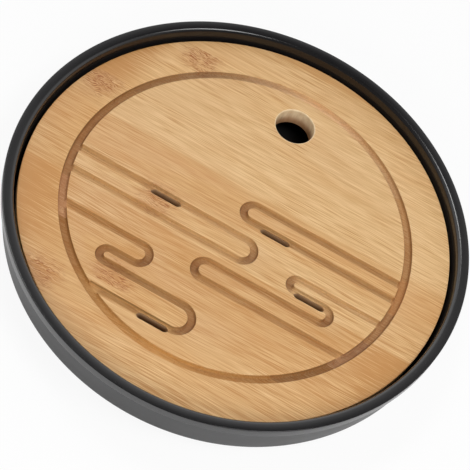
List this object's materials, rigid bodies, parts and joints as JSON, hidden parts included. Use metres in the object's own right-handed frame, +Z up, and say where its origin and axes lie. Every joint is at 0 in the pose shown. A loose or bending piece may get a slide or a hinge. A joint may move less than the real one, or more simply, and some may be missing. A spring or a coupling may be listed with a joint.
{
  "type": "gongfu tea tray",
  "caption": "Round gongfu tea tray: a black moulded water basin with a lift-out bamboo drain board, carved with a ring, drifting-mist grooves and drain slots.",
  "frame": {"origin": "centre of the base, on the surface that the tray stands on", "axes": "+Z up, +X along the bamboo grain and the groove rows, +Y towards the finger hole"},
  "size_m": [0.255, 0.255, 0.036],
  "materials": {
    "basin_black": "smooth moulded black with a soft semi-gloss",
    "bamboo": "sanded natural laminated bamboo, honey coloured, browner in the carved grooves",
    "pad_rubber": "matt dark silicone"
  },
  "bodies": {
    "basin": {"basin": "basin_black", "foot_pad_1": "pad_rubber", "foot_pad_2": "pad_rubber", "foot_pad_3": "pad_rubber", "foot_pad_4": "pad_rubber"},
    "drain_board": {"board_strip_01": "bamboo", "board_strip_02": "bamboo", "board_strip_03": "bamboo", "board_strip_04": "bamboo", "board_strip_05": "bamboo", "board_strip_06": "bamboo", "board_strip_07": "bamboo", "board_strip_08": "bamboo", "board_strip_09": "bamboo", "board_strip_10": "bamboo", "board_strip_11": "bamboo"}
  },
  "joints": [
    {"name": "board_lift", "type": "slide", "parent": "basin", "child": "drain_board", "axis": [0, 0, 1], "range_m": [0, 0.04]}
  ]
}
